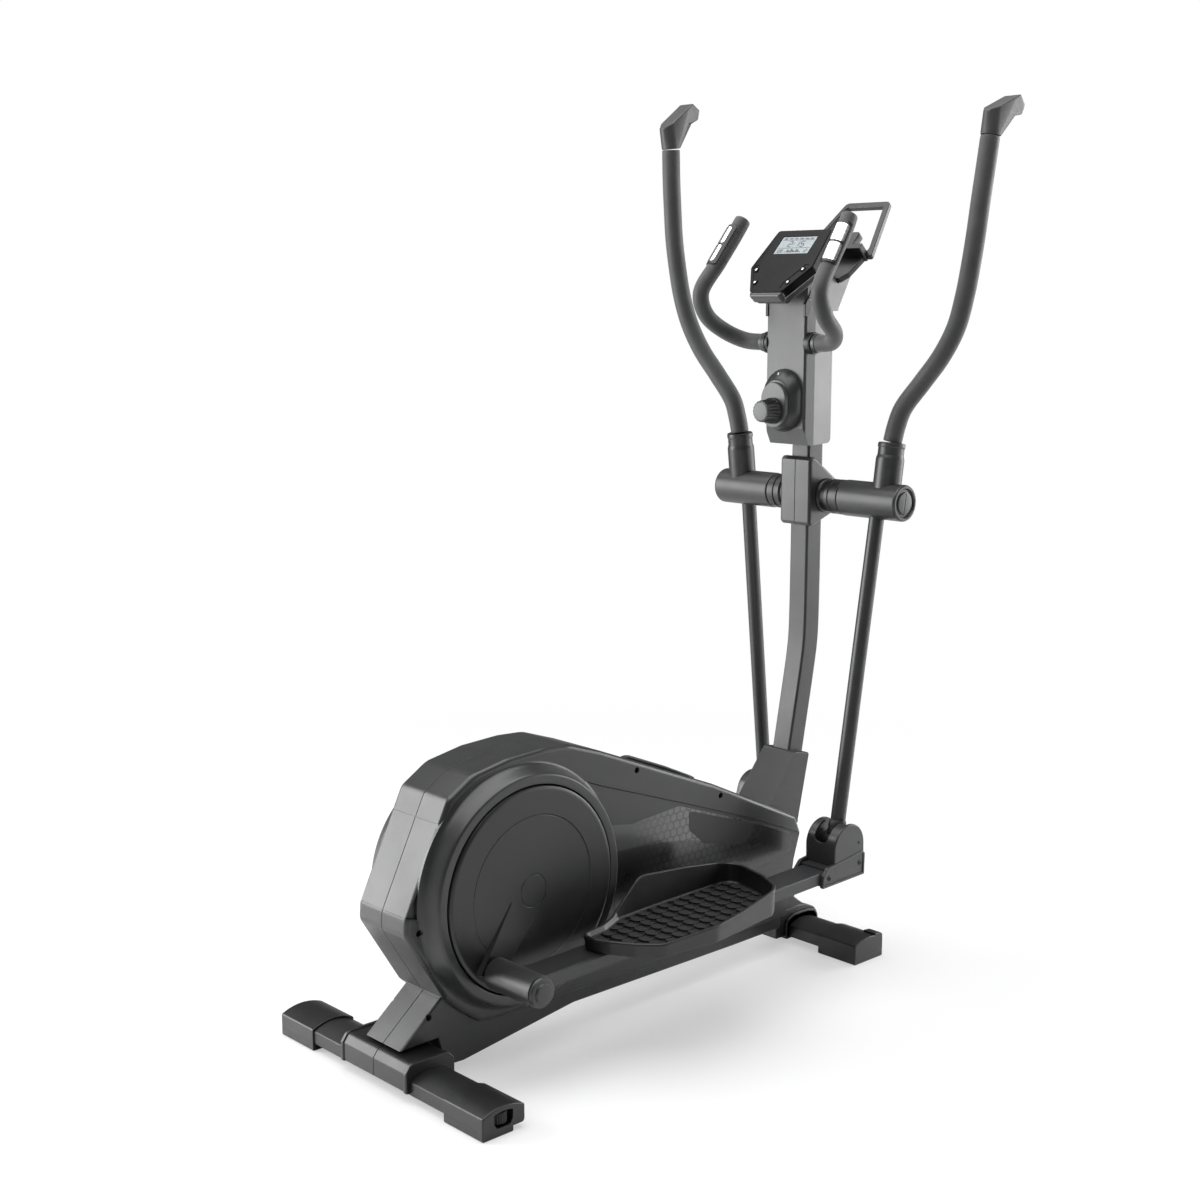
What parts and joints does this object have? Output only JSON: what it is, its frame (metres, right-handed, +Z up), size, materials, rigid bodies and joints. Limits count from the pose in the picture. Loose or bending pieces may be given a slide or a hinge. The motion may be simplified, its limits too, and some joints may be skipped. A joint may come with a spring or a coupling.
{
  "type": "elliptical trainer",
  "caption": "Upright home exercise machine: pedal trays on crank-driven arms, swinging handlebars on a mast, fixed grips, console, and a flywheel in a moulded housing.",
  "frame": {"origin": "on the floor under the middle of the bounding box", "axes": "+X towards the console end, +Y to the left of a user facing the console, +Z up"},
  "size_m": [1.275, 0.6784, 1.6695],
  "materials": {
    "powder_coat": "satin charcoal powder coat",
    "steel": "plain bright steel",
    "iron": "turned cast iron",
    "black_plastic": "fine-grained black moulding",
    "charcoal_plastic": "satin charcoal moulding",
    "grey_plastic": "satin grey moulding",
    "gloss_plastic": "gloss black moulding",
    "foam": "dense black grip foam",
    "rubber": "matt black rubber",
    "lcd": "grey-blue display window"
  },
  "bodies": {
    "frame": {"main_frame": "powder_coat", "rear_stabiliser": "powder_coat", "front_stabiliser": "powder_coat", "rear_cap_left": "black_plastic", "rear_cap_right": "black_plastic", "front_cap_left": "black_plastic", "front_cap_right": "black_plastic", "rear_saddle_cover": "black_plastic", "front_saddle_cover": "black_plastic", "housing_left": "charcoal_plastic", "housing_right": "charcoal_plastic", "crank_bearing_left": "steel", "crank_bearing_right": "steel", "drive_belt": "rubber", "flywheel_axle": "steel", "tension_cable": "rubber", "mast": "powder_coat", "mast_boot": "black_plastic", "pivot_block_left": "charcoal_plastic", "pivot_block_right": "charcoal_plastic", "pivot_axle": "steel", "pivot_bush_left": "black_plastic", "pivot_bush_right": "black_plastic", "console_casing": "grey_plastic", "knob_housing": "charcoal_plastic", "console_body": "gloss_plastic", "console_screen": "lcd", "tablet_frame": "black_plastic", "fixed_handlebar": "powder_coat", "fixed_grip_left": "foam", "fixed_grip_right": "foam"},
    "crank": {"crank_axle": "steel", "drive_pulley": "black_plastic", "crank_arm_left": "steel", "crank_arm_right": "steel", "crank_disc_left": "charcoal_plastic", "crank_disc_right": "charcoal_plastic"},
    "flywheel": {"flywheel": "iron"},
    "tension_knob": {"tension_knob": "black_plastic"},
    "brake": {"brake_bracket": "steel"},
    "pedal_arm_left": {"pedal_arm_left": "powder_coat", "pedal_left": "black_plastic", "knuckle_cover_left": "charcoal_plastic"},
    "swing_arm_left": {"swing_arm_left": "powder_coat", "handle_grip_left": "foam", "handle_tip_left": "black_plastic"},
    "roller_left": {"transport_roller_left": "rubber"},
    "leveller_left": {"leveller_left": "black_plastic"},
    "pedal_arm_right": {"pedal_arm_right": "powder_coat", "pedal_right": "black_plastic", "knuckle_cover_right": "charcoal_plastic"},
    "swing_arm_right": {"swing_arm_right": "powder_coat", "handle_grip_right": "foam", "handle_tip_right": "black_plastic"},
    "roller_right": {"transport_roller_right": "rubber"},
    "leveller_right": {"leveller_right": "black_plastic"},
    "button_upper_left": {"button_upper_left": "grey_plastic"},
    "button_lower_left": {"button_lower_left": "grey_plastic"},
    "button_upper_right": {"button_upper_right": "grey_plastic"},
    "button_lower_right": {"button_lower_right": "grey_plastic"}
  },
  "joints": [
    {"name": "crank_spin", "type": "hinge", "parent": "frame", "child": "crank", "pos_m": [-0.37347, 0, 0.3015], "axis": [0, -1, 0], "range_deg": [-10, 60]},
    {"name": "flywheel_spin", "type": "hinge", "parent": "frame", "child": "flywheel", "pos_m": [-0.04347, 0, 0.25], "axis": [0, -1, 0], "range_deg": [-80, 480]},
    {"name": "tension_turn", "type": "hinge", "parent": "frame", "child": "tension_knob", "pos_m": [0.30653, 0, 1.07], "axis": [-1, 0, 0], "range_deg": [-135, 135]},
    {"name": "brake_swing", "type": "hinge", "parent": "frame", "child": "brake", "pos_m": [0.08453, 0, 0.272], "axis": [0, -1, 0], "range_deg": [-2.7, 2.7]},
    {"name": "pedal_arm_turn_left", "type": "hinge", "parent": "crank", "child": "pedal_arm_left", "pos_m": [-0.27856, 0.172, 0.41766], "axis": [0, -1, 0], "range_deg": [-62.7, 10.45]},
    {"name": "swing_arm_turn_left", "type": "hinge", "parent": "frame", "child": "swing_arm_left", "pos_m": [0.44753, 0.15, 0.901], "axis": [0, -1, 0], "range_deg": [-12.9, 2.15]},
    {"name": "pedal_arm_turn_right", "type": "hinge", "parent": "crank", "child": "pedal_arm_right", "pos_m": [-0.46838, -0.172, 0.18534], "axis": [0, -1, 0], "range_deg": [-58.05, 9.68]},
    {"name": "swing_arm_turn_right", "type": "hinge", "parent": "frame", "child": "swing_arm_right", "pos_m": [0.44753, -0.15, 0.901], "axis": [0, -1, 0], "range_deg": [-2.1, 12.6]},
    {"name": "roller_spin_left", "type": "hinge", "parent": "frame", "child": "roller_left", "pos_m": [0.43053, 0.178, 0.0175], "axis": [0, 1, 0], "continuous": true},
    {"name": "leveller_turn_left", "type": "hinge", "parent": "frame", "child": "leveller_left", "pos_m": [-0.59047, 0.262, 0.02], "axis": [0, 0, 1], "range_deg": [-180, 180]},
    {"name": "roller_spin_right", "type": "hinge", "parent": "frame", "child": "roller_right", "pos_m": [0.43053, -0.178, 0.0175], "axis": [0, 1, 0], "continuous": true},
    {"name": "leveller_turn_right", "type": "hinge", "parent": "frame", "child": "leveller_right", "pos_m": [-0.59047, -0.262, 0.02], "axis": [0, 0, 1], "range_deg": [-180, 180]},
    {"name": "button_upper_left_press", "type": "slide", "parent": "frame", "child": "button_upper_left", "axis": [0.7224, 0, -0.6915], "range_m": [0, 0.001], "stiffness_N_per_m": 300},
    {"name": "button_lower_left_press", "type": "slide", "parent": "frame", "child": "button_lower_left", "axis": [0.7224, 0, -0.6915], "range_m": [0, 0.001], "stiffness_N_per_m": 300},
    {"name": "button_upper_right_press", "type": "slide", "parent": "frame", "child": "button_upper_right", "axis": [0.7224, 0, -0.6915], "range_m": [0, 0.001], "stiffness_N_per_m": 300},
    {"name": "button_lower_right_press", "type": "slide", "parent": "frame", "child": "button_lower_right", "axis": [0.7224, 0, -0.6915], "range_m": [0, 0.001], "stiffness_N_per_m": 300}
  ],
  "couplings": [
    {"joint": "flywheel_spin", "follows": "crank_spin", "ratio": 8},
    {"joint": "brake_swing", "follows": "tension_turn", "ratio": 0.02},
    {"joint": "pedal_arm_turn_left", "follows": "crank_spin", "ratio": -1.045},
    {"joint": "swing_arm_turn_left", "follows": "crank_spin", "ratio": -0.215},
    {"joint": "pedal_arm_turn_right", "follows": "crank_spin", "ratio": -0.9675},
    {"joint": "swing_arm_turn_right", "follows": "crank_spin", "ratio": 0.21}
  ]
}
